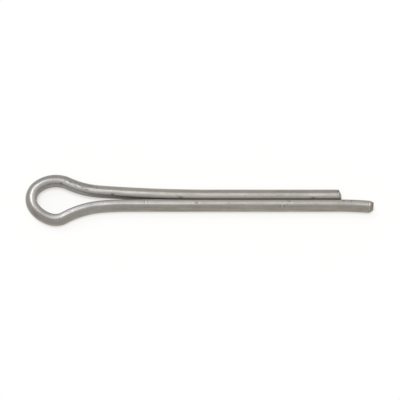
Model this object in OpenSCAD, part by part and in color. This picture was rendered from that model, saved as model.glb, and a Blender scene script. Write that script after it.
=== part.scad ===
// Cotter pin: one length of half-round wire, bent back on itself so that its two flat faces meet.
// It lies flat on z = 0. X runs along the shank from the eye to the prong tips, and the origin is
// under the centre of the pin's bounding box.

/* [Wire] */
// Thickness of the half-round wire, from its flat face to its round back
wire_t = 1.5; // [1.1:0.05:1.85]

/* [Eye] */
// Inner radius of the nose of the eye
nose_r = 1.5; // [1:0.05:1.9]
// Inner radius of the long bend over the crown, on the short prong's side
crown_r = 3.4; // [2.4:0.05:4.5]
// Inner radius of the bend between the nose and the hip, on the long prong's side
belly_r = 3.6; // [2.6:0.05:4.8]
// Inner radius of the tight bend at the hip, where the eye turns back to the shank
hip_r = 1.7; // [1.2:0.05:2.3]
// Height of the nose's centre above the shank's axis
eye_rise = 0.22; // [0:0.01:0.4]

/* [Shank] */
// Overall length, from the nose of the eye to the tip of the long prong
pin_l = 47.5; // [38:0.5:120]
// Distance by which the long prong passes the short one
prong_step = 4.4; // [3:0.1:10]
// Width of the slit between the two prongs where they lie closed
slit = 0.05; // [0.02:0.01:0.3]
// Radius of the gentle bow that opens the short prong towards the eye
short_bow_r = 205; // [150:5:270]
// Radius of the gentle bow that opens the long prong towards the eye
long_bow_r = 50; // [20:5:150]
// Radius of the outward flare near the tip of the long prong
flare_r = 50; // [10:5:60]

/* [Prong tips] */
// Length of the bevel at each tip
bevel_l = 0.5; // [0.2:0.05:0.7]
// Depth of the bevel on the round back of the short prong
short_bevel_d = 0.65; // [0.1:0.05:0.8]
// Depth of the bevel on the round back of the long prong
long_bevel_d = 0.4; // [0.1:0.05:0.8]
// Depth of the bevel on the flat face of the long prong
flat_bevel_d = 0.3; // [0.1:0.05:0.5]

/* [Hidden] */
$fa = 1;
$fs = 0.08;

// Every turn is written as [cosine, sine] and comes from 3-4-5 triangles, so that both numbers are
// exact decimals and each bend begins on exactly the section where the one before it ends.
turn_4 = [0.99712, 0.07584];
turn_16 = [0.96, 0.28];
turn_21 = [0.936, 0.352];
turn_37 = [0.8, 0.6];
turn_90 = [0, 1];
function sum_of(a, b) = [a.x * b.x - a.y * b.y, a.y * b.x + a.x * b.y];
short_slope = sum_of(turn_21, turn_4);
long_slope = sum_of(short_slope, turn_4);

// Each half of the wire's section is four arcs that meet smoothly: the round back, a shoulder, a
// flatter crest, and a small corner at the flat face. The shoulder's centre lies on a 20-21-29
// triangle. The crest turns by turn_16, and its radius is what makes the corner touch the flat face.
shoulder_r = 0.42 * wire_t;
shoulder_c = [shoulder_r, 0.4 * wire_t];
wire_half_w = shoulder_c.y + shoulder_r;
corner_r = 0.21 * wire_t;
crest_r = corner_r + (shoulder_r - corner_r) / turn_16.y;
crest_c = [shoulder_r, wire_half_w - crest_r];
corner_way = [-turn_16.y, turn_16.x];
corner_c = crest_c + (crest_r - corner_r) * corner_way;

// Centres of the eye's bends, measured from the shank's axis. Each lies on the radius that its bend
// shares with its neighbour's.
nose_c = [nose_r + wire_t - pin_l / 2, eye_rise];
crown_c = nose_c + (crown_r - nose_r) * [turn_37.y, -turn_37.x];
belly_c = nose_c + (belly_r - nose_r) * [turn_37.x, turn_37.y];
hip_c = belly_c - (belly_r - hip_r) * [turn_16.y, turn_16.x];

// Each prong falls from the eye to the slit through a neck and then a bow. The neck's radius is
// what makes the prong end at the slit's face.
short_fall = crown_c.y + crown_r - slit / 2;
long_fall = hip_r - hip_c.y - slit / 2;
function neck_r(fall, bend_r, bow_r, slope) =
  (fall - bend_r * (1 - slope.x) - bow_r * (1 - turn_4.x)) / (turn_4.x - slope.x);
short_neck_r = neck_r(short_fall, crown_r, short_bow_r, short_slope);
long_neck_r = neck_r(long_fall, hip_r, long_bow_r, long_slope);

// Where each prong becomes straight, and how far it then runs before its tip
function straight_x(bend_c, bend_r, neck_r, bow_r, slope) =
  bend_c.x + bend_r * slope.y + neck_r * (slope.y - turn_4.y) + bow_r * turn_4.y;
tip_l = 2 * bevel_l;
short_end_x = pin_l / 2 - prong_step;
short_run = short_end_x - tip_l - straight_x(crown_c, crown_r, short_neck_r, short_bow_r, short_slope);
long_run = pin_l / 2 + flat_bevel_d * turn_4.y - tip_l * turn_4.x - flare_r * turn_4.y
  - straight_x(hip_c, hip_r, long_neck_r, long_bow_r, long_slope);

// The wire's route from the short prong to the long one. Each step is a side to turn to, a radius
// and a turn, or AHEAD and a length. The flat face is always on the left.
LEFT = 1;
RIGHT = -1;
AHEAD = 0;
route = [
  [AHEAD, short_run],
  [RIGHT, short_bow_r, turn_4],
  [RIGHT, short_neck_r, turn_21],
  [LEFT, crown_r, turn_21],
  [LEFT, crown_r, turn_4],
  [LEFT, crown_r, turn_37],
  [LEFT, nose_r, turn_90],
  [LEFT, belly_r, turn_37],
  [LEFT, hip_r, turn_16],
  [LEFT, hip_r, turn_21],
  [LEFT, hip_r, turn_4],
  [LEFT, hip_r, turn_4],
  [RIGHT, long_neck_r, turn_21],
  [RIGHT, long_neck_r, turn_4],
  [RIGHT, long_bow_r, turn_4],
  [AHEAD, long_run],
  [RIGHT, flare_r, turn_4]
];
start = [short_end_x - tip_l, slit / 2, wire_half_w];
centre_y = (short_fall - long_fall) / 2;

// Longer than any bend's radius
reach = 1000;

// The part of a disc between two directions
module sector(centre, radius, from, to) {
  translate(centre)
    intersection() {
      circle(r = radius);
      polygon(reach * [[0, 0], from, to]);
    }
}

// Section of the wire: flat on x = 0, round towards +x
module wire_section() {
  sector([0, 0], wire_t, [shoulder_c.x, -shoulder_c.y], shoulder_c);
  for (side = [0, 1])
    mirror([0, side]) {
      sector(shoulder_c, shoulder_r, shoulder_c, [0, 1]);
      sector(crest_c, crest_r, [0, 1], corner_way);
      sector(corner_c, corner_r, corner_way, [-1, 0]);
      polygon([[0, 0], shoulder_c, corner_c, [0, corner_c.y]]);
    }
}

// A straight piece of wire along +x, its flat face on the left
module straight(length) {
  rotate([90, 0, 90])
    linear_extrude(height = length) mirror([1, 0]) wire_section();
}

// A bent piece of wire that sets off along +x and turns to one side
module bend(side, radius, turn) {
  translate([0, side * radius, 0])
    intersection() {
      rotate(side * 90)
        rotate_extrude() translate([radius, 0]) mirror([side == RIGHT ? 1 : 0, 0]) wire_section();
      translate([0, 0, -2 * wire_half_w])
        linear_extrude(height = 4 * wire_half_w)
          polygon(reach * [[0, 0], [0, -side], [turn.y, -side * turn.x]]);
    }
}

// Moves its children to the far end of a bend
module past_bend(side, radius, turn) {
  translate([0, side * radius, 0])
    multmatrix([[turn.x, -side * turn.y, 0, 0], [side * turn.y, turn.x, 0, 0], [0, 0, 1, 0]])
      translate([0, -side * radius, 0]) children();
}

// The wire along a route, with the children at its far end
module wire_along(route, step = 0) {
  if (step == len(route)) {
    children();
  } else if (route[step][0] == AHEAD) {
    straight(route[step][1]);
    translate([route[step][1], 0, 0]) wire_along(route, step + 1) children();
  } else {
    bend(route[step][0], route[step][1], route[step][2]);
    past_bend(route[step][0], route[step][1], route[step][2]) wire_along(route, step + 1) children();
  }
}

// The end of a prong along +x, its flat face on the left: a cone bevels its back and a slope its flat face
module prong_tip(back_d, flat_d) {
  intersection() {
    straight(tip_l);
    rotate([0, 90, 0]) cylinder(h = tip_l, r1 = wire_t + back_d, r2 = wire_t - back_d);
    translate([0, 0, -2 * wire_half_w])
      linear_extrude(height = 4 * wire_half_w)
        polygon([[0, flat_d], [tip_l, -flat_d], [tip_l, -2 * wire_t], [0, -2 * wire_t]]);
  }
}

module cotter_pin() {
  color("darkgray")
    translate([0, -centre_y, 0])
      translate(start)
        rotate(180) {
          mirror([1, 0, 0]) prong_tip(short_bevel_d, 0);
          wire_along(route) prong_tip(long_bevel_d, flat_bevel_d);
        }
}

cotter_pin();
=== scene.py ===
"""Looks of a split cotter pin: one half-round steel wire, bent back on itself and lying on its side.

The wire is one closed surface, the wire's section carried along the wire's route. Lengths are in
metres. X runs along the shank from the eye to the prong tips, Y towards the short prong, Z up.
"""

import logging
import math
from dataclasses import dataclass, field
from enum import Enum

import bpy
import numpy as np
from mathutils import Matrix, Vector


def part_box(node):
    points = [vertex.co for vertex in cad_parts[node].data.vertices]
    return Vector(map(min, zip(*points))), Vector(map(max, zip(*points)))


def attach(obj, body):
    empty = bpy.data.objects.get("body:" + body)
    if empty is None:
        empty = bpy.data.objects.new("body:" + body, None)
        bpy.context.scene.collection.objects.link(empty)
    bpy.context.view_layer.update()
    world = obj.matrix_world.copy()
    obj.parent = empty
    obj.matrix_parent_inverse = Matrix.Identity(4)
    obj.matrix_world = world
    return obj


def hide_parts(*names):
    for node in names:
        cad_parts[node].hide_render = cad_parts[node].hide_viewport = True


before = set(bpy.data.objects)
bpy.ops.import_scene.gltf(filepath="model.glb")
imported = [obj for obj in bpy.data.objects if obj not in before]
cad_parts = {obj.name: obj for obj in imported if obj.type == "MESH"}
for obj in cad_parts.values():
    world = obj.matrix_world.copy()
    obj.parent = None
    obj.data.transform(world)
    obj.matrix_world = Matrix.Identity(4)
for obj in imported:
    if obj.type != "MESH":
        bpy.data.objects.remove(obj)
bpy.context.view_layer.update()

MM = 0.001
CAD_NODE = "cotter_pin"
STRAIGHT_PLACE = "straight_place"
NICK_AND_LIGHT_SHADE = "nick_and_light_shade"
WIRE_MAP = "wire_map"

Colour = tuple[float, float, float]
Source = bpy.types.NodeSocket | float | Colour

log = logging.getLogger("cotter_pin")


class Turn(Enum):
    """Angles that the bends turn through, each as its cosine and sine."""

    SLIGHT = (0.99712, 0.07584)
    HIP = (0.96, 0.28)
    NECK = (0.936, 0.352)
    SHOULDER = (0.8, 0.6)
    QUARTER = (0.0, 1.0)

    @property
    def as_complex(self) -> complex:
        """The turn as a point of the unit circle."""
        return complex(*self.value)


class Side(Enum):
    """Where the route goes next; the wire's flat face is always on its left."""

    LEFT = 1
    AHEAD = 0
    RIGHT = -1


class Prong(Enum):
    """The two prongs, in the order in which the route passes them."""

    SHORT = 0
    LONG = 1


@dataclass(frozen=True)
class Step:
    """One stretch of the route: a straight run, or a bend through one or more turns.

    Attributes:
        side: Where the stretch turns to.
        size: Length of a straight run, or inner or outer radius of a bend at the flat face.
        turns: The turns of a bend, one after the other.
    """

    side: Side
    size: float
    turns: tuple[Turn, ...] = ()

    @property
    def angle(self) -> float:
        """Angle of the whole bend: the sum of its turns."""
        return sum(math.atan2(turn.value[1], turn.value[0]) for turn in self.turns)

    @property
    def length(self) -> float:
        """Length along the flat face: radius times angle on a bend."""
        return self.size if self.side is Side.AHEAD else self.size * self.angle

    @property
    def curvature(self) -> float:
        """One over the radius, positive where the route turns left."""
        return 0.0 if self.side is Side.AHEAD else self.side.value / self.size


@dataclass(frozen=True)
class Stations:
    """Places along the wire, as arrays with one entry for each ring of the surface.

    Attributes:
        place: Where the middle of the flat face is, as x + iy.
        heading: Direction of the route, as a point of the unit circle.
        along: Length of the wire's middle fibre up to there.
        past_tip: How far the ring lies into the short prong's tip (negative) or the long one's.
        shrink: Share of its full size that the ring has; under 1 on the end faces.
    """

    place: np.ndarray
    heading: np.ndarray
    along: np.ndarray
    past_tip: np.ndarray
    shrink: np.ndarray


@dataclass(frozen=True)
class Outline:
    """Points round the wire's section, as arrays. The plane is out + i up, out from the flat face.

    Attributes:
        point: The points, in turn round the section.
        normal: Outward normals, as points of the unit circle.
        around: Length round the outline up to each point, from the middle of the flat face.
        girth: Length once round the outline.
    """

    point: np.ndarray
    normal: np.ndarray
    around: np.ndarray
    girth: float

    def around_at(self, degrees: float) -> float:
        """Length round the outline to where its normal is turned by an angle from out towards up."""
        return float(self.around[np.argmin(np.abs(self.normal - np.exp(1j * math.radians(degrees))))])


@dataclass(frozen=True)
class WireSection:
    """The half-round section: flat at out = 0, round back at out = thickness.

    On each side a shoulder turns from the back over to the crest, a flatter crown leads on towards the
    flat face, and a corner ends there. The arcs meet smoothly. The shoulder's centre lies on a 20-21-29
    triangle, and the crown turns through Turn.HIP.

    Attributes:
        thickness: Thickness of the wire, the radius of its back.
        shoulder_share: Radius of a shoulder, over the thickness.
        rise_share: Height of a shoulder's centre over the section's middle, over the thickness.
        corner_share: Radius of a corner, over the thickness.
        parts: Parts that the back's half, a shoulder, a crown, a corner and the flat's half are cut into.
    """

    thickness: float
    shoulder_share: float = 0.42
    rise_share: float = 0.4
    corner_share: float = 0.21
    parts: tuple[int, int, int, int, int] = (14, 9, 6, 7, 5)

    @property
    def corner_r(self) -> float:
        """Radius of the corners."""
        return self.corner_share * self.thickness

    @property
    def half_width(self) -> float:
        """Half the wire's width, from its middle to the crest."""
        return (self.shoulder_share + self.rise_share) * self.thickness

    def outline(self) -> Outline:
        """Works out the section's outline.

        An arc is its centre plus its radius times the unit circle, over the angles between the arcs
        that it meets. The crown's centre lies under the crest. Its radius is such that the corner
        touches the flat face: corner_r + (shoulder_r - corner_r) / sin(turn).

        Returns:
            The outline, once round from the middle of the flat face, without its first point repeated.
        """
        shoulder_r = self.shoulder_share * self.thickness
        shoulder = complex(shoulder_r, self.rise_share * self.thickness)
        turn = Turn.HIP.as_complex
        reach = (shoulder_r - self.corner_r) / turn.imag
        crown = complex(shoulder_r, self.half_width - self.corner_r - reach)
        corner = crown + reach * 1j * turn
        angles = np.array([0, np.angle(shoulder), math.pi / 2, math.pi / 2 + np.angle(turn), math.pi])
        centres = np.array([0, shoulder, crown, corner])
        radii = np.array([self.thickness, shoulder_r, self.corner_r + reach, self.corner_r])

        arc = np.repeat(np.arange(4), self.parts[:4])
        share = np.concatenate([np.arange(count) / count for count in self.parts[:4]])
        normal = np.exp(1j * (angles[arc] + (angles[arc + 1] - angles[arc]) * share))
        point = centres[arc] + radii[arc] * normal
        flat = 1j * np.linspace(corner.imag, 0, self.parts[4], endpoint=False)
        point = np.concatenate([point, flat])
        normal = np.concatenate([normal, np.full(len(flat), -1 + 0j)])
        point = np.concatenate([[0j], point[:0:-1].conj(), point])
        normal = np.concatenate([[-1 + 0j], normal[:0:-1].conj(), normal])
        steps = np.abs(np.diff(np.append(point, point[0])))
        around = np.concatenate([[0.0], np.cumsum(steps)])
        return Outline(point, normal, around[:-1], float(around[-1]))


def soft_least(a: np.ndarray, b: np.ndarray, softness: float) -> np.ndarray:
    """The lesser of two values, rounded where they meet: half of a + b - sqrt((a - b)^2 + softness^2)."""
    return (a + b - np.sqrt((a - b) ** 2 + softness**2)) / 2


@dataclass(frozen=True)
class ProngTip:
    """The sheared end of a prong: a cone bevels its round back, and a slope its flat face.

    Attributes:
        bevel_l: Half the tip's length, and the bevel's length if it isn't late.
        back_d: Depth of the bevel on the round back.
        flat_d: Depth of the bevel on the flat face, or 0 for none.
        edge_shade: How dark the bevel's first edge is, as painted shade, or below 0 how bright, as a painted
            highlight.
        facet_shade: How dark the bevel is.
        late: How far past the middle of the tip the bevel starts.
        edge_w: Half the width of the first edge's line.
        facet_fade: Length over which the bevel's shade sets in.
        softness: Size of the rounding on the bevel's edges.
        score_d: Depth of the line that the shear scored round the wire, just before the bevel.
        score_w: Half its width.
        score_lead: How far before the bevel it lies.
    """

    bevel_l: float
    back_d: float
    flat_d: float
    edge_shade: float
    facet_shade: float
    late: float = 0.0
    edge_w: float = 0.07 * MM
    facet_fade: float = 0.06 * MM
    softness: float = 0.03 * MM
    score_d: float = 0.012 * MM
    score_w: float = 0.06 * MM
    score_lead: float = 0.096 * MM

    @property
    def length(self) -> float:
        """Length of the tip, of which at least the first half is plain wire."""
        return 2 * self.bevel_l

    @property
    def start(self) -> float:
        """How far into the tip the bevel starts."""
        return self.bevel_l + self.late

    def shape(self, point: np.ndarray, past: np.ndarray, thickness: float) -> np.ndarray:
        """Bevels rings of the section.

        A point moves in until it is no further from the flat face's middle line than the cone,
        thickness + back_d * fall, and out until it clears the slope, -flat_d * fall. The fall is
        (start - past) / (length - start). The scored line is a bell along the wire.

        Args:
            point: The outline, as out + i up, one row.
            past: How far each ring lies into the tip, one column.
            thickness: Thickness of the wire.

        Returns:
            One ring a row.
        """
        fall = (self.start - past) / (self.length - self.start)
        radius = np.maximum(np.abs(point), 1e-9)
        cone = thickness + self.back_d * fall
        ring = point * soft_least(radius, cone, self.softness) / radius
        if self.flat_d:
            ring = -soft_least(-ring.real, self.flat_d * fall, self.softness) + 1j * ring.imag
        score = self.score_d * np.exp(-((past - self.start + self.score_lead) / self.score_w) ** 2)
        return ring * (1 - score / thickness)

    def shade(self, past: np.ndarray) -> np.ndarray:
        """Works out how dark each ring is: a line along the bevel's first edge, and the bevel itself.

        The line is a bell, and the bevel's shade takes over where the bell is under a half.

        Args:
            past: How far each ring lies into the tip; below 0 for rings that aren't in it.

        Returns:
            The shade of each ring.
        """
        line = np.exp(-((past - self.start) / self.edge_w) ** 2)
        facet = np.clip((past - self.start) / self.facet_fade, 0, 1)
        return np.where(line > 0.5, self.edge_shade * line, self.facet_shade * facet)


@dataclass(frozen=True)
class NickOrPaintedLight:
    """A shallow scratch, a pit, a rubbed or dull spot on the wire, or a patch of painted shade or painted
    highlight.

    Attributes:
        prong: Which prong it is on.
        x: Where along the pin.
        side: Angle of the surface's normal there, from out (0) through up (90) to the flat face (180).
        length: Half its size along the wire.
        width: Half its size round the wire.
        depth: How deep it is, or 0 where only the colour differs.
        shade: How dark its ground or painted shade is, up to 1, or how bright its rubbed metal or painted
            highlight is, down to -1.
    """

    prong: Prong
    x: float
    side: float
    length: float
    width: float
    depth: float
    shade: float

    @classmethod
    def in_mm(
        cls, prong: Prong, x: float, side: float, length: float, width: float, depth: float, shade: float
    ) -> "NickOrPaintedLight":
        """A mark, or a patch of painted light, whose place and sizes are given in millimetres."""
        return cls(prong, x * MM, side, length * MM, width * MM, depth * MM, shade)


@dataclass(frozen=True)
class DrawnSteel:
    """Dull plated steel wire: fine lines along the wire, clouds, pits, a film on the flat side whose darker
    colour is painted shade, and marks that include painted shade and painted highlights.

    Attributes:
        tone: Colour of the clean metal.
        dull_tone: Colour of the duller streaks and clouds.
        film_shade_tone: Colour of the matt film on the flat face and its corners, darker as painted shade on
            these inner faces.
        film_edge: How far out from the flat face the film is whole, and how far out it ends.
        pit_and_shade_tone: Colour of pits and scratch marks, and of painted shade on dull patches and on an
            edge.
        bare_and_highlight_tone: Colour of the wire's rubbed metal, and of painted highlights.
        eye_tint: Factor on these colours at the eye, where the metal is cleaner and cooler.
        eye_at: Length of the wire up to the middle of the eye.
        eye_reach: How far from there, along the wire, the tint begins to fade and has faded.
        line_tones: Factors on the colour in the dark and in the bright drawn lines.
        streak_share: Share of the dullness that comes in streaks; the rest comes in clouds.
        pit_shade: How dark the fine pits are.
        film_metal: How metallic the film is.
        roughness: Roughness of the rubbed and of the dull surface.
        mark_roughness: How much rougher the marks are.
        film_roughness: How much rougher the film is.
        stretch: How much further the shine spreads across the wire than along it.
        line_relief: Height of the drawn lines.
        grain_relief: Height of the grain.
        pit_relief: Depth of the fine pits.
    """

    tone: Colour = (0.31, 0.291, 0.257)
    dull_tone: Colour = (0.242, 0.225, 0.197)
    film_shade_tone: Colour = (0.272, 0.255, 0.225)
    film_edge: tuple[float, float] = (0.14 * MM, 0.4 * MM)
    pit_and_shade_tone: Colour = (0.07, 0.066, 0.058)
    bare_and_highlight_tone: Colour = (0.62, 0.6, 0.57)
    eye_tint: Colour = (1.0, 1.0, 1.035)
    eye_at: float = 45 * MM
    eye_reach: tuple[float, float] = (8 * MM, 17 * MM)
    line_tones: tuple[Colour, Colour] = ((0.9, 0.9, 0.9), (1.1, 1.1, 1.1))
    streak_share: float = 0.55
    pit_shade: float = 0.4
    film_metal: float = 0.5
    roughness: tuple[float, float] = (0.266, 0.398)
    mark_roughness: float = 0.22
    film_roughness: float = 0.12
    stretch: float = 0.32
    line_relief: float = 0.002 * MM
    grain_relief: float = 0.0007 * MM
    pit_relief: float = 0.002 * MM

    def material(self, name: str) -> bpy.types.Material:
        """Builds the finish from nodes that read the place of each point on the straight wire.

        Args:
            name: Name of the new material.

        Returns:
            The material.
        """
        made = bpy.data.materials.new(name)
        made.use_nodes = True
        tree = made.node_tree
        tree.nodes.clear()
        bench = NodeBench(tree)
        place = bench.node("ShaderNodeAttribute", attribute_name=STRAIGHT_PLACE).outputs["Vector"]
        nick_or_light = bench.node("ShaderNodeAttribute", attribute_name=NICK_AND_LIGHT_SHADE).outputs["Fac"]

        streaks = bench.noise(place, (9 * MM, 0.16 * MM, 0.16 * MM), detail=4, roughness=0.6)
        lines = bench.noise(place, (2.4 * MM, 0.035 * MM, 0.035 * MM), detail=3, roughness=0.65)
        clouds = bench.noise(place, (2.2 * MM, 1.3 * MM, 1.3 * MM), detail=3, roughness=0.55)
        grain = bench.noise(place, (0.09 * MM, 0.06 * MM, 0.06 * MM), detail=2, roughness=0.5)
        pits = bench.noise(place, (0.26 * MM, 0.14 * MM, 0.14 * MM), detail=1, roughness=0.4)

        worn = bench.spread(streaks, 0.36, 0.64)
        cloudy = bench.spread(clouds, 0.34, 0.66)
        streaky = bench.math("MULTIPLY", worn, self.streak_share)
        dull = bench.math("ADD", streaky, bench.math("MULTIPLY", cloudy, 1 - self.streak_share))
        pitted = bench.spread(pits, 0.66, 0.76)
        # Pits and nicks, together with the painted shade of dull patches and of the short tip's edge.
        marked_and_shaded = bench.math("MAXIMUM", bench.math("MULTIPLY", pitted, self.pit_shade), nick_or_light)
        # Rubbed metal, together with painted highlights: the eye's bright patch, the slit's corner and the
        # long tip's edge.
        bare_and_highlight = bench.spread(nick_or_light, 0.0, -1.0)
        parts = bench.node("ShaderNodeSeparateXYZ")
        bench.link(place, parts.inputs[0])
        along, out = parts.outputs["X"], parts.outputs["Y"]
        # The film's darker colour on the flat face and its corners is painted shade.
        film_and_shade = bench.spread(out, self.film_edge[1], self.film_edge[0])
        film_and_shade = bench.math("MULTIPLY", film_and_shade, bench.range(clouds, 0.7, 1.1))
        from_eye = bench.math("ABSOLUTE", bench.math("SUBTRACT", along, self.eye_at))
        shank = bench.spread(from_eye, *self.eye_reach)

        colour = bench.mix(dull, self.tone, self.dull_tone)
        fine = bench.mix(bench.spread(lines, 0.3, 0.7), *self.line_tones)
        colour = bench.mix_colours("MULTIPLY", 1.0, colour, fine)
        colour = bench.mix(film_and_shade, colour, self.film_shade_tone)
        tint = bench.mix(shank, self.eye_tint, (1.0, 1.0, 1.0))
        colour = bench.mix_colours("MULTIPLY", 1.0, colour, tint)
        colour = bench.mix(marked_and_shaded, colour, self.pit_and_shade_tone)
        colour = bench.mix(bare_and_highlight, colour, self.bare_and_highlight_tone)

        rough = bench.range(dull, *self.roughness)
        rough = bench.math("ADD", rough, bench.math("MULTIPLY", marked_and_shaded, self.mark_roughness))
        rough = bench.math("ADD", rough, bench.math("MULTIPLY", film_and_shade, self.film_roughness))

        drawn = bench.math("MULTIPLY", lines, self.line_relief)
        height = bench.math("ADD", drawn, bench.math("MULTIPLY", grain, self.grain_relief))
        height = bench.math("SUBTRACT", height, bench.math("MULTIPLY", pitted, self.pit_relief))
        bump = bench.node("ShaderNodeBump")
        bump.inputs["Distance"].default_value = 1.0
        bench.link(height, bump.inputs["Height"])

        tangent = bench.node("ShaderNodeTangent", direction_type="UV_MAP", uv_map=WIRE_MAP)
        steel = bench.node("ShaderNodeBsdfPrincipled")
        bench.link(bench.range(film_and_shade, 1.0, self.film_metal), steel.inputs["Metallic"])
        steel.inputs["Anisotropic"].default_value = self.stretch
        steel.inputs["Anisotropic Rotation"].default_value = 0.25
        bench.link(colour, steel.inputs["Base Color"])
        bench.link(rough, steel.inputs["Roughness"])
        bench.link(bump.outputs["Normal"], steel.inputs["Normal"])
        bench.link(tangent.outputs["Tangent"], steel.inputs["Tangent"])
        output = bench.node("ShaderNodeOutputMaterial")
        bench.link(steel.outputs["BSDF"], output.inputs["Surface"])
        return made


class NodeBench:
    """Short ways to make and join the nodes of one material or world."""

    def __init__(self, tree: bpy.types.NodeTree) -> None:
        """Takes the node tree to work on."""
        self.tree = tree

    def node(self, kind: str, **settings: object) -> bpy.types.Node:
        """Makes a node.

        Args:
            kind: The node's type.
            **settings: Properties to set on it.

        Returns:
            The new node.
        """
        made = self.tree.nodes.new(kind)
        for name, value in settings.items():
            setattr(made, name, value)
        return made

    def link(self, source: Source, socket: bpy.types.NodeSocket) -> None:
        """Feeds a socket from another one, or sets it to a number or colour.

        Args:
            source: The socket, number or colour.
            socket: The input to feed.
        """
        if isinstance(source, bpy.types.NodeSocket):
            self.tree.links.new(source, socket)
        elif isinstance(source, tuple):
            socket.default_value = (*source, 1.0)
        else:
            socket.default_value = source

    def math(self, operation: str, a: Source, b: Source = 0.0) -> bpy.types.NodeSocket:
        """Works out one or two values.

        Args:
            operation: What a Math node makes of them.
            a: The first value.
            b: The second value, if the operation takes two.

        Returns:
            The result.
        """
        made = self.node("ShaderNodeMath", operation=operation)
        self.link(a, made.inputs[0])
        self.link(b, made.inputs[1])
        return made.outputs[0]

    def range(self, value: Source, low: float, high: float) -> bpy.types.NodeSocket:
        """Brings a value that runs from 0 to 1 to run from low to high.

        Args:
            value: The value; beyond 0 and 1 it is clipped.
            low: What 0 becomes.
            high: What 1 becomes.

        Returns:
            The new value.
        """
        made = self.node("ShaderNodeMapRange")
        self.link(value, made.inputs["Value"])
        made.inputs["To Min"].default_value = low
        made.inputs["To Max"].default_value = high
        return made.outputs["Result"]

    def spread(self, value: Source, low: float, high: float) -> bpy.types.NodeSocket:
        """Brings a value that runs from low to high smoothly to run from 0 to 1.

        Args:
            value: The value; beyond low and high it is clipped.
            low: What becomes 0.
            high: What becomes 1.

        Returns:
            The new value.
        """
        made = self.node("ShaderNodeMapRange", interpolation_type="SMOOTHSTEP")
        self.link(value, made.inputs["Value"])
        made.inputs["From Min"].default_value = low
        made.inputs["From Max"].default_value = high
        return made.outputs["Result"]

    def noise(
        self, place: bpy.types.NodeSocket, size: tuple[float, float, float], detail: float, roughness: float
    ) -> bpy.types.NodeSocket:
        """Makes smooth noise with blotches of a given size.

        Args:
            place: Where the pattern is read.
            size: Size of a blotch along each axis.
            detail: Octaves of finer noise on top.
            roughness: Strength of each finer octave.

        Returns:
            The noise, about 0.5 on average.
        """
        mapping = self.node("ShaderNodeMapping")
        mapping.inputs["Scale"].default_value = tuple(1 / x for x in size)
        self.link(place, mapping.inputs["Vector"])
        made = self.node("ShaderNodeTexNoise")
        self.link(mapping.outputs["Vector"], made.inputs["Vector"])
        made.inputs["Scale"].default_value = 1.0
        made.inputs["Detail"].default_value = detail
        made.inputs["Roughness"].default_value = roughness
        return made.outputs["Fac"]

    def mix(self, share: Source, a: Source, b: Source) -> bpy.types.NodeSocket:
        """Colour a where share is 0, colour b where it is 1."""
        return self.mix_colours("MIX", share, a, b)

    def mix_colours(self, blend: str, share: Source, a: Source, b: Source) -> bpy.types.NodeSocket:
        """Lays one colour over another.

        Args:
            blend: How b is laid over a.
            share: How much of b shows.
            a: The lower colour.
            b: The upper colour.

        Returns:
            The mixed colour.
        """
        made = self.node("ShaderNodeMix", data_type="RGBA", blend_type=blend)
        self.link(share, made.inputs[0])
        self.link(a, made.inputs[6])
        self.link(b, made.inputs[7])
        return made.outputs[2]


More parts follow.
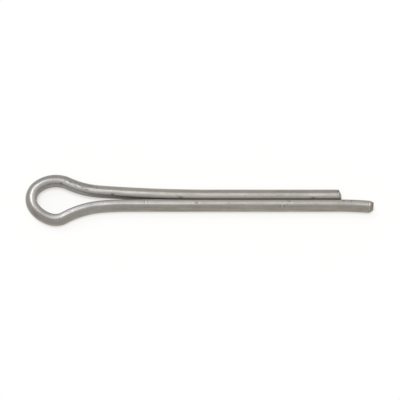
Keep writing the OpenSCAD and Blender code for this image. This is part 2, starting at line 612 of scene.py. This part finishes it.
@dataclass
class CotterPin:
    """The whole pin: one wire, its route, its two tips and its marks.

    Attributes:
        wire_t: Thickness of the wire.
        nose_r: Inner radius of the eye's nose.
        crown_r: Inner radius of the eye's bend on the short prong's side.
        belly_r: Inner radius of the eye's bend on the long prong's side.
        hip_r: Inner radius of the tight bend where the long prong leaves the eye.
        eye_rise: How far the nose's centre lies over the slit's middle, towards the short prong.
        pin_l: Overall length.
        prong_step: How far the long prong passes the short one.
        slit: Width of the slit between the prongs.
        short_bow_r: Radius of the short prong's slight bow behind the eye, at the flat face.
        long_bow_r: Radius of the long prong's bow there.
        flare_r: Radius of the long prong's slight bend at its tip.
        bevel_l: Length of the tips' bevels.
        ring_spacing: Greatest length of wire from one ring of the surface to the next.
        grip_x: Where along the pin the forming tool gripped the short prong's neck.
        grip_side: Angle of the surface's normal there, from out towards up.
        finish: The steel.
    """

    wire_t: float = 1.5 * MM
    nose_r: float = 1.5 * MM
    crown_r: float = 3.4 * MM
    belly_r: float = 3.6 * MM
    hip_r: float = 1.7 * MM
    eye_rise: float = 0.22 * MM
    pin_l: float = 47.5 * MM
    prong_step: float = 4.4 * MM
    slit: float = 0.05 * MM
    short_bow_r: float = 205 * MM
    long_bow_r: float = 50 * MM
    flare_r: float = 50 * MM
    bevel_l: float = 0.5 * MM
    ring_spacing: float = 0.085 * MM
    grip_x: float = -16.9 * MM
    grip_side: float = 62.0
    finish: DrawnSteel = field(default_factory=DrawnSteel)

    def __post_init__(self) -> None:
        """Works out the section, the tips and the route from the driving sizes."""
        self.section = WireSection(self.wire_t)
        # The short tip's dark first edge is painted shade; the long tip's bright one is a painted highlight.
        self.short_tip = ProngTip(
            self.bevel_l, back_d=0.65 * MM, flat_d=0.0, edge_shade=0.4, facet_shade=0.1, late=0.16 * MM
        )
        self.long_tip = ProngTip(
            self.bevel_l, back_d=0.4 * MM, flat_d=0.3 * MM, edge_shade=-0.3, facet_shade=0.3
        )
        self.steps = self.route()

    def route(self) -> tuple[Step, ...]:
        """Lays out the wire from the short prong to the long one.

        The centres of the eye's bends each lie on the radius that a bend shares with its neighbour.
        A neck's radius is what makes its prong end at the slit: the fall from the eye to the slit,
        less the falls of the eye's bend and of the bow, over cos(bow's turn) - cos(neck's slope).

        Returns:
            The steps, in order.
        """
        slight = Turn.SLIGHT.as_complex
        short_slope = Turn.NECK.as_complex * slight
        long_slope = short_slope * slight
        shoulder = Turn.SHOULDER.as_complex
        nose = complex(self.nose_r + self.wire_t - self.pin_l / 2, self.eye_rise)
        crown = nose + (self.crown_r - self.nose_r) * complex(shoulder.imag, -shoulder.real)
        belly = nose + (self.belly_r - self.nose_r) * shoulder
        hip_turn = Turn.HIP.as_complex
        hip = belly - (self.belly_r - self.hip_r) * complex(hip_turn.imag, hip_turn.real)

        def neck_r(fall: float, bend_r: float, bow_r: float, slope: complex) -> float:
            """Radius of a neck, from the fall that it has to make up."""
            rest = fall - bend_r * (1 - slope.real) - bow_r * (1 - slight.real)
            return rest / (slight.real - slope.real)

        def straight_x(bend: complex, bend_r: float, neck: float, bow_r: float, slope: complex) -> float:
            """Where a prong becomes straight, along X."""
            return bend.real + bend_r * slope.imag + neck * (slope.imag - slight.imag) + bow_r * slight.imag

        short_neck_r = neck_r(
            crown.imag + self.crown_r - self.slit / 2, self.crown_r, self.short_bow_r, short_slope
        )
        long_neck_r = neck_r(self.hip_r - hip.imag - self.slit / 2, self.hip_r, self.long_bow_r, long_slope)
        short_run = (
            self.pin_l / 2 - self.prong_step - self.short_tip.length
            - straight_x(crown, self.crown_r, short_neck_r, self.short_bow_r, short_slope)
        )
        long_run = (
            self.pin_l / 2 + self.long_tip.flat_d * slight.imag - self.long_tip.length * slight.real
            - self.flare_r * slight.imag
            - straight_x(hip, self.hip_r, long_neck_r, self.long_bow_r, long_slope)
        )
        return (
            Step(Side.AHEAD, short_run),
            Step(Side.RIGHT, self.short_bow_r, (Turn.SLIGHT,)),
            Step(Side.RIGHT, short_neck_r, (Turn.NECK,)),
            Step(Side.LEFT, self.crown_r, (Turn.NECK, Turn.SLIGHT, Turn.SHOULDER)),
            Step(Side.LEFT, self.nose_r, (Turn.QUARTER,)),
            Step(Side.LEFT, self.belly_r, (Turn.SHOULDER,)),
            Step(Side.LEFT, self.hip_r, (Turn.HIP, Turn.NECK, Turn.SLIGHT, Turn.SLIGHT)),
            Step(Side.RIGHT, long_neck_r, (Turn.NECK, Turn.SLIGHT)),
            Step(Side.RIGHT, self.long_bow_r, (Turn.SLIGHT,)),
            Step(Side.AHEAD, long_run),
            Step(Side.RIGHT, self.flare_r, (Turn.SLIGHT,)),
        )

    def stations(self) -> Stations:
        """Cuts the route into rings, and adds the rings of the two tips.

        Each step is cut into equal parts of constant curvature. A part turns the heading by its
        length times the curvature, and its chord has the heading of the part's middle and the length
        part * sin(turn / 2) / (turn / 2). The middle fibre's part is longer by 1 + curvature * half
        the wire's thickness, because the flat face is on the left.

        Returns:
            The rings' places, headings and lengths.
        """
        fibre = self.wire_t / 2
        lengths = np.array([step.length for step in self.steps])
        bends = np.array([step.curvature for step in self.steps])
        counts = np.ceil(lengths * (1 + bends * fibre) / self.ring_spacing).astype(int)
        part = np.repeat(lengths / counts, counts)
        curvature = np.repeat(bends, counts)
        turn = part * curvature
        heading = np.concatenate([[0.0], np.cumsum(turn)])
        chord = part * np.sinc(turn / (2 * math.pi)) * np.exp(1j * (heading[:-1] + turn / 2))
        place = np.concatenate([[0j], np.cumsum(chord)])
        along = np.concatenate([[0.0], np.cumsum(part * (1 + curvature * fibre))])
        heading = np.exp(1j * heading)

        past, shrink = self.tip_rings()
        plain = np.zeros(len(place))
        return Stations(
            place=np.concatenate([
                place[0] - past[::-1] * heading[0], place, place[-1] + past * heading[-1]
            ]),
            heading=np.concatenate([
                np.full(len(past), heading[0]), heading, np.full(len(past), heading[-1])
            ]),
            along=np.concatenate([along[0] - past[::-1], along, along[-1] + past]),
            past_tip=np.concatenate([-past[::-1], plain, past]),
            shrink=np.concatenate([shrink[::-1], plain + 1, shrink]),
        )

    def tip_rings(self) -> tuple[np.ndarray, np.ndarray]:
        """Spaces the rings of a tip: close together where a bevel starts, early or late, and at the rim.

        The rim is a quarter round: past = length - rim * (1 - sin a), inset = rim * (1 - cos a).
        The last rings close the end face, each a smaller share of its size.

        Returns:
            How far each ring lies into the tip, and the share of its full size that it has.
        """
        rim = 0.03 * MM
        length = self.short_tip.length
        close, apart = self.bevel_l - 6 * rim, self.bevel_l + 8 * rim
        side = np.concatenate([
            np.linspace(self.ring_spacing, close, 4, endpoint=False),
            np.linspace(close, apart, 34, endpoint=False),
            np.linspace(apart, length - rim, 5, endpoint=False),
        ])
        a = np.linspace(0, math.pi / 2, 5)
        inset = rim * (1 - np.cos(a)) / (self.wire_t / 2)
        face = np.array([0.85, 0.7, 0.52, 0.34, 0.17])
        past = np.concatenate([side, length - rim * (1 - np.sin(a)), np.full(len(face), length)])
        shrink = np.concatenate([np.ones(len(side)), 1 - inset, face])
        return past, shrink

    @staticmethod
    def nicks_and_painted_light() -> tuple[NickOrPaintedLight, ...]:
        """Lists the marks that forming and handling left, and patches of painted shade and painted
        highlight.

        Returns:
            The marks, group by group.
        """
        short, long = Prong.SHORT, Prong.LONG
        return (
            # A bright scratch across the long prong's crest, between dark edges.
            NickOrPaintedLight.in_mm(long, -7.48, 98, 0.08, 0.3, 0.01, 0.45),
            NickOrPaintedLight.in_mm(long, -7.27, 98, 0.08, 0.3, 0.006, -0.4),
            NickOrPaintedLight.in_mm(long, -7.06, 98, 0.08, 0.3, 0.01, 0.45),
            # A pit between two rubbed spots, halfway along it.
            NickOrPaintedLight.in_mm(long, -0.95, 92, 0.12, 0.11, 0.006, -0.35),
            NickOrPaintedLight.in_mm(long, -0.36, 95, 0.16, 0.12, 0.01, 0.7),
            NickOrPaintedLight.in_mm(long, 0.0, 92, 0.12, 0.11, 0.006, -0.35),
            # Another scratch, on its back, and a rubbed and pitted place on the crest beside it.
            NickOrPaintedLight.in_mm(long, 11.04, 55, 0.1, 0.18, 0.015, 0.55),
            NickOrPaintedLight.in_mm(long, 11.26, 60, 0.08, 0.3, 0.008, -0.4),
            NickOrPaintedLight.in_mm(long, 11.49, 55, 0.1, 0.18, 0.015, 0.55),
            NickOrPaintedLight.in_mm(long, 11.75, 96, 0.3, 0.1, 0.006, -0.25),
            NickOrPaintedLight.in_mm(long, 12.2, 103, 0.26, 0.1, 0.012, 0.7),
            NickOrPaintedLight.in_mm(long, 12.56, 92, 0.12, 0.12, 0.006, -0.35),
            # Two pits past the short prong's end.
            NickOrPaintedLight.in_mm(long, 19.64, 105, 0.16, 0.1, 0.015, 0.7),
            NickOrPaintedLight.in_mm(long, 20.7, 105, 0.14, 0.1, 0.015, 0.7),
            # Darker, duller patches on the eye, painted shade that dims its outer side and its shine, and a
            # brighter one, a painted highlight that widens its shine.
            NickOrPaintedLight.in_mm(long, -21.5, 35, 0.7, 0.35, 0.0, 0.3),
            NickOrPaintedLight.in_mm(long, -20.9, 90, 1.7, 0.4, 0.0, 0.28),
            NickOrPaintedLight.in_mm(short, -22.7, 108, 1.2, 0.3, 0.0, -0.3),
            NickOrPaintedLight.in_mm(short, -20.2, 98, 1.3, 0.5, 0.0, 0.22),
            # Bright metal on the long prong's corner where the prongs part: painted light that lightens the
            # shade in the slit.
            NickOrPaintedLight.in_mm(long, -6.0, 170, 3.4, 0.2, 0.0, -1.0),
            # Pits near the tips.
            NickOrPaintedLight.in_mm(long, 23.25, 20, 0.14, 0.16, 0.015, 0.5),
            NickOrPaintedLight.in_mm(short, 18.88, 50, 0.12, 0.12, 0.02, 0.8),
            # Pits along the short prong's corner, and two on the inside of the eye.
            NickOrPaintedLight.in_mm(short, -11.85, 125, 0.22, 0.16, 0.02, 1.0),
            NickOrPaintedLight.in_mm(short, -2.55, 125, 0.3, 0.14, 0.02, 0.9),
            NickOrPaintedLight.in_mm(short, 15.5, 125, 0.25, 0.1, 0.02, 0.9),
            NickOrPaintedLight.in_mm(short, -18.9, 125, 0.24, 0.14, 0.015, 0.8),
            NickOrPaintedLight.in_mm(short, -20.4, 150, 0.14, 0.12, 0.015, 0.6),
        )

    def marks(self, stations: Stations, outline: Outline) -> tuple[np.ndarray, np.ndarray]:
        """Works out how deep, and how dark or bright, each mark makes the surface, painted shade and painted
        highlights included.

        A mark is a bell, exp(-(along / length)^2 - (around / width)^2), times its depth or shade.
        The rough patch, where the forming tool gripped the short prong's neck, is a shower of such
        bells with seeded places and sizes, and another shower is strewn over the whole wire. Depths
        add up, and of the shades the strongest holds.

        Args:
            stations: The rings.
            outline: The points of a ring.

        Returns:
            The depth and the shade of each point, one ring a row.
        """
        rows = [
            (
                self.along_at(stations, nick_or_light.prong, nick_or_light.x), outline.around_at(nick_or_light.side),
                nick_or_light.length, nick_or_light.width, nick_or_light.depth, nick_or_light.shade,
            )
            for nick_or_light in self.nicks_and_painted_light()
        ]
        rng = np.random.default_rng(7)
        count = 60
        rough = np.stack([
            self.along_at(stations, Prong.SHORT, self.grip_x) + rng.normal(0, 1.1 * MM, count),
            outline.around_at(self.grip_side) + rng.normal(0, 0.32 * MM, count),
            rng.uniform(0.12 * MM, 0.3 * MM, count),
            rng.uniform(0.06 * MM, 0.12 * MM, count),
            rng.uniform(0.0, 0.016 * MM, count),
            rng.uniform(-0.25, 0.6, count),
        ], 1)
        count = 90
        strewn = np.stack([
            rng.uniform(stations.along[0], stations.along[-1], count),
            rng.uniform(0, outline.girth, count),
            rng.uniform(0.06 * MM, 0.22 * MM, count),
            rng.uniform(0.04 * MM, 0.09 * MM, count),
            rng.uniform(0.001 * MM, 0.008 * MM, count),
            rng.uniform(0.0, 0.55, count) ** 1.5,
        ], 1)
        depth = np.zeros((len(stations.along), len(outline.point)))
        shade = np.zeros_like(depth)
        half = outline.girth / 2
        for along, around, length, width, deep, dark in np.concatenate([np.array(rows), rough, strewn]):
            off = (outline.around - around + half) % outline.girth - half
            bell = np.exp(-((stations.along - along) / length) ** 2)[:, None] * np.exp(-(off / width) ** 2)
            depth += deep * bell
            shade = np.where(np.abs(dark * bell) > np.abs(shade), dark * bell, shade)
        # Edge lines of the tips: painted shade on the short one, a painted highlight on the long one.
        tips = self.short_tip.shade(-stations.past_tip) + self.long_tip.shade(stations.past_tip)
        return depth, np.clip(shade + tips[:, None], -1, 1)

    def along_at(self, stations: Stations, prong: Prong, x: float) -> float:
        """Finds a place on the pin along the wire.

        The route runs towards the nose, whose outer edge lies half the pin's length from its middle.

        Args:
            stations: The rings.
            prong: The half of the wire.
            x: The place's X on the finished pin.

        Returns:
            The wire's length up to the ring nearest to that place.
        """
        nose = int(np.argmax(stations.place.real))
        half = slice(None, nose) if prong is Prong.SHORT else slice(nose, None)
        on_route = stations.place.real[nose] + self.wire_t - self.pin_l / 2 - x
        return float(stations.along[half][np.argmin(np.abs(stations.place.real[half] - on_route))])

    def grid(self) -> tuple[np.ndarray, np.ndarray, np.ndarray, np.ndarray]:
        """Carries the section along the route.

        A point of the surface is place + out * (heading turned a quarter to the right) in plan, and
        half the wire's width + up in height. Marks and a faint waviness, 5 to 9 thousandths of a
        millimetre deep, first move the point inwards along its normal, the tips' bevels shape their
        rings, and the end faces' rings shrink towards the middle of the section.

        Returns:
            The points of the surface, the same points on the straight wire, the shade of the marks,
            and the map of the surface (length along, length round), each with one ring a row.
        """
        stations = self.stations()
        outline = self.section.outline()
        depth, shade = self.marks(stations, outline)
        turns = 2 * math.pi * outline.around / outline.girth
        along = stations.along[:, None]
        long_wave = np.sin(along / (0.9 * MM) + 2 * np.sin(turns))
        short_wave = np.sin(along / (0.37 * MM) + 3 * np.cos(turns))
        waviness = 0.001 * MM * (7 + long_wave + short_wave)
        ring = outline.point - outline.normal * (depth + waviness)
        short, long = stations.past_tip < 0, stations.past_tip > 0
        ring[short] = self.short_tip.shape(ring[short], -stations.past_tip[short, None], self.wire_t)
        ring[long] = self.long_tip.shape(ring[long], stations.past_tip[long, None], self.wire_t)
        middle = np.where(long, self.wire_t * 0.5, self.wire_t * 0.42)[:, None]
        ring = middle + (ring - middle) * stations.shrink[:, None]

        plan = stations.place[:, None] - 1j * stations.heading[:, None] * ring.real
        points = np.stack([plan.real, plan.imag, self.section.half_width + ring.imag], 2)
        straight = np.stack([np.broadcast_to(along, depth.shape), ring.real, ring.imag], 2)
        where = np.stack(np.broadcast_arrays(along, outline.around), 2)
        return points, straight, shade, where

    def mesh(self) -> bpy.types.Mesh:
        """Joins the rings into one closed surface.

        Each cell between two rings is a four-sided face, and a fan of triangles round a point in the
        middle closes each end face. The route sets off towards the eye along +X, so the surface is
        turned by half a turn, and it is then centred on the CAD node's box in plan.

        Returns:
            The mesh, with the straight wire's places, the marks' shade and a map of the surface.
        """
        points, straight, shade, where = self.grid()
        rings, across = shade.shape
        ends = [points[0].mean(0), points[-1].mean(0)]
        corners = np.concatenate([points.reshape(-1, 3), ends]) * (-1, -1, 1)
        low, high = (np.array(corner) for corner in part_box(CAD_NODE))
        corners += (low + high - corners.min(0) - corners.max(0)) / 2 * (1, 1, 0)

        cell = np.arange(rings * across).reshape(rings, across)
        after = np.roll(cell, -1, 1)
        quads = np.stack([cell[:-1], cell[1:], after[1:], after[:-1]], 2).reshape(-1, 4)
        first, last = rings * across, rings * across + 1
        opening = np.stack([np.full(across, first), cell[0], after[0]], 1)
        closing = np.stack([np.full(across, last), after[-1], cell[-1]], 1)
        made = bpy.data.meshes.new(CAD_NODE)
        made.from_pydata(corners.tolist(), [], [*quads.tolist(), *opening.tolist(), *closing.tolist()])
        made.update()

        straight_ends = [straight[0].mean(0), straight[-1].mean(0)]
        straight = np.concatenate([straight.reshape(-1, 3), straight_ends])
        attribute = made.attributes.new(STRAIGHT_PLACE, "FLOAT_VECTOR", "POINT")
        attribute.data.foreach_set("vector", straight.astype(np.float32).ravel())
        attribute = made.attributes.new(NICK_AND_LIGHT_SHADE, "FLOAT", "POINT")
        attribute.data.foreach_set("value", np.append(shade, (0.0, 0.0)).astype(np.float32))
        self.lay_map(made, where)
        return made

    def lay_map(self, made: bpy.types.Mesh, where: np.ndarray) -> None:
        """Writes the map of the surface: length along the wire, length round it, both over 1 cm.

        Args:
            made: The mesh.
            where: The two lengths of each point, one ring a row.
        """
        rings, across = where.shape[:2]
        girth = self.section.outline().girth
        closed = np.concatenate([where, where[:, :1] + (0, girth)], 1)
        quads = np.stack([closed[:-1, :-1], closed[1:, :-1], closed[1:, 1:], closed[:-1, 1:]], 2)
        tips = []
        for row, order in ((0, (0, 1)), (rings - 1, (1, 0))):
            pair = np.stack([closed[row, :-1], closed[row, 1:]], 1)[:, order]
            tips.append(np.concatenate([pair.mean(1, keepdims=True), pair], 1).reshape(-1, 2))
        spots = np.concatenate([quads.reshape(-1, 2), *tips]) / (10 * MM)
        layer = made.uv_layers.new(name=WIRE_MAP)
        layer.data.foreach_set("uv", spots.astype(np.float32).ravel())

    def build(self) -> bpy.types.Object:
        """Returns:
            The finished piece.
        """
        made = self.mesh()
        made.shade_smooth()
        made.materials.append(self.finish.material("drawn_steel"))
        piece = bpy.data.objects.new("cotter_pin_wire", made)
        bpy.context.scene.collection.objects.link(piece)
        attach(piece, "root")
        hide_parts(CAD_NODE)
        wire_l = self.stations().along[-1] / MM
        log.info("%s: %d faces, %.1f mm of wire", piece.name, len(made.polygons), wire_l)
        return piece


@dataclass(frozen=True)
class SoftLamp:
    """A soft rectangular lamp.

    Attributes:
        name: Its name.
        azimuth: Its direction in plan, in degrees from +X towards +Y.
        tilt: How far it stands from straight overhead, in degrees.
        distance: How far away it is.
        size: Its width and its depth.
        radiance: Its brightness, where 1 is white. Its power is radiance * pi * area.
        tone: Colour of its light.
    """

    name: str
    azimuth: float
    tilt: float
    distance: float
    size: tuple[float, float]
    radiance: float
    tone: Colour = (0.93, 0.98, 1.12)

    def hang(self, middle: Vector) -> None:
        """Hangs the lamp over a point, facing it.

        Args:
            middle: The point.
        """
        data = bpy.data.lights.new(self.name, "AREA")
        data.shape = "RECTANGLE"
        data.color = self.tone
        data.size, data.size_y = self.size
        data.energy = self.radiance * math.pi * self.size[0] * self.size[1]
        lamp = bpy.data.objects.new(self.name, data)
        bpy.context.scene.collection.objects.link(lamp)
        turn, lean = math.radians(self.azimuth), math.radians(self.tilt)
        back = Vector((math.cos(turn) * math.sin(lean), math.sin(turn) * math.sin(lean), math.cos(lean)))
        lamp.location = middle + self.distance * back
        lamp.rotation_euler = back.to_track_quat("Z", "Y").to_euler()


@dataclass(frozen=True)
class Studio:
    """Pale floor, soft lamps and the camera.

    Attributes:
        lamps: The lamps: a small bright one and a large dim one behind it.
        floor_size: Length of the floor's sides.
        floor_tone: Colour of the floor as the lamps light it.
        white_tone: The white that the floor shows of itself.
        contact_shadow_tone: The painted shadow that the white turns to right beside the pin.
        contact_shadow_reach: How near the pin the white turns to that painted shadow.
        white_share: How much of the floor's look is that white.
        ambient: Strength of the world as a light.
        view_elevation: How high the camera looks from, in degrees over the floor.
        view_distance: How far away it is.
        view_w: Width of what it sees there.
        aim: Where it looks, from the pin's middle along X and Y.
    """

    lamps: tuple[SoftLamp, ...] = (
        SoftLamp("key", azimuth=128.7, tilt=24.4, distance=1.6, size=(0.39, 0.39), radiance=8.85),
        SoftLamp("panel", azimuth=139.5, tilt=27.3, distance=1.8, size=(1.32, 2.37), radiance=1.3),
    )
    floor_size: float = 3.0
    floor_tone: Colour = (0.98, 0.975, 0.96)
    white_tone: Colour = (1.0, 0.994, 0.975)
    contact_shadow_tone: Colour = (0.38, 0.34, 0.27)
    contact_shadow_reach: float = 0.5 * MM
    white_share: float = 0.86
    ambient: float = 0.76
    view_elevation: float = 77.0
    view_distance: float = 0.52
    view_w: float = 54.6 * MM
    aim: tuple[float, float] = (0.08 * MM, 0.069 * MM)

    def build(self, middle: Vector) -> None:
        """Sets up the floor, the world, the lamps and the camera.

        Args:
            middle: The middle of the pin.
        """
        self.floor()
        self.world()
        for lamp in self.lamps:
            lamp.hang(middle)
        self.camera(middle)
        bpy.context.scene.view_settings.view_transform = "Standard"

    def floor(self) -> None:
        """Makes the floor: a pale sheet, partly white of itself to look at, so that its shadows are faint.

        That white turns to a painted shadow, the contact shadow tone, right beside the pin and between its
        prongs.
        """
        half = self.floor_size / 2
        made = bpy.data.meshes.new("floor")
        rim = [(-half, -half, 0), (half, -half, 0), (half, half, 0), (-half, half, 0)]
        made.from_pydata(rim, [], [(0, 1, 2, 3)])
        floor = bpy.data.objects.new("floor", made)
        bpy.context.scene.collection.objects.link(floor)
        paint = bpy.data.materials.new("pale_floor")
        paint.use_nodes = True
        paint.node_tree.nodes.clear()
        bench = NodeBench(paint.node_tree)
        matt = bench.node("ShaderNodeBsdfDiffuse")
        bench.link(self.floor_tone, matt.inputs["Color"])
        white = bench.node("ShaderNodeEmission")
        # Painted contact shadow: the floor's own white darkens near the pin, by ambient occlusion.
        shadow_ao = bench.node("ShaderNodeAmbientOcclusion")
        shadow_ao.inputs["Distance"].default_value = self.contact_shadow_reach
        bench.link(bench.mix(shadow_ao.outputs["AO"], self.contact_shadow_tone, self.white_tone), white.inputs["Color"])
        both = bench.node("ShaderNodeMixShader")
        bench.link(bench.math("MULTIPLY", self.seen(bench), self.white_share), both.inputs[0])
        bench.link(matt.outputs[0], both.inputs[1])
        bench.link(white.outputs[0], both.inputs[2])
        output = bench.node("ShaderNodeOutputMaterial")
        bench.link(both.outputs[0], output.inputs["Surface"])
        made.materials.append(paint)

    @staticmethod
    def seen(bench: NodeBench) -> bpy.types.NodeSocket:
        """Tells which rays see the scene: those of the camera, of a glossy surface or of a clear one.

        Args:
            bench: Where to make the nodes.

        Returns:
            1 for such rays, else 0.
        """
        path = bench.node("ShaderNodeLightPath")
        shiny = bench.math("MAXIMUM", path.outputs["Is Glossy Ray"], path.outputs["Is Transmission Ray"])
        return bench.math("MAXIMUM", path.outputs["Is Camera Ray"], shiny)

    def world(self) -> None:
        """Makes the world: white to look at, dimmer as a light."""
        world = bpy.data.worlds.new("studio")
        bpy.context.scene.world = world
        world.use_nodes = True
        world.node_tree.nodes.clear()
        bench = NodeBench(world.node_tree)
        sky = bench.node("ShaderNodeBackground")
        bench.link((1.0, 1.0, 1.0), sky.inputs["Color"])
        bench.link(bench.range(self.seen(bench), self.ambient, 1.0), sky.inputs["Strength"])
        output = bench.node("ShaderNodeOutputWorld")
        bench.link(sky.outputs[0], output.inputs["Surface"])

    def camera(self, middle: Vector) -> None:
        """Sets up the camera: a long lens that looks down on the pin from a little in front of it.

        Args:
            middle: The middle of the pin.
        """
        data = bpy.data.cameras.new("camera")
        data.sensor_width = 36.0
        data.lens = data.sensor_width * self.view_distance / self.view_w
        camera = bpy.data.objects.new("camera", data)
        bpy.context.scene.collection.objects.link(camera)
        elevation = math.radians(self.view_elevation)
        back = Vector((0, -math.cos(elevation), math.sin(elevation)))
        camera.location = middle + Vector((*self.aim, 0)) + self.view_distance * back
        camera.rotation_euler = back.to_track_quat("Z", "Y").to_euler()
        bpy.context.scene.camera = camera


def main() -> None:
    """Builds the studio and the pin."""
    logging.basicConfig(level=logging.INFO, format="%(name)s: %(message)s")
    low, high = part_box(CAD_NODE)
    Studio().build((low + high) / 2)
    CotterPin().build()


if __name__ == "__main__":
    main()
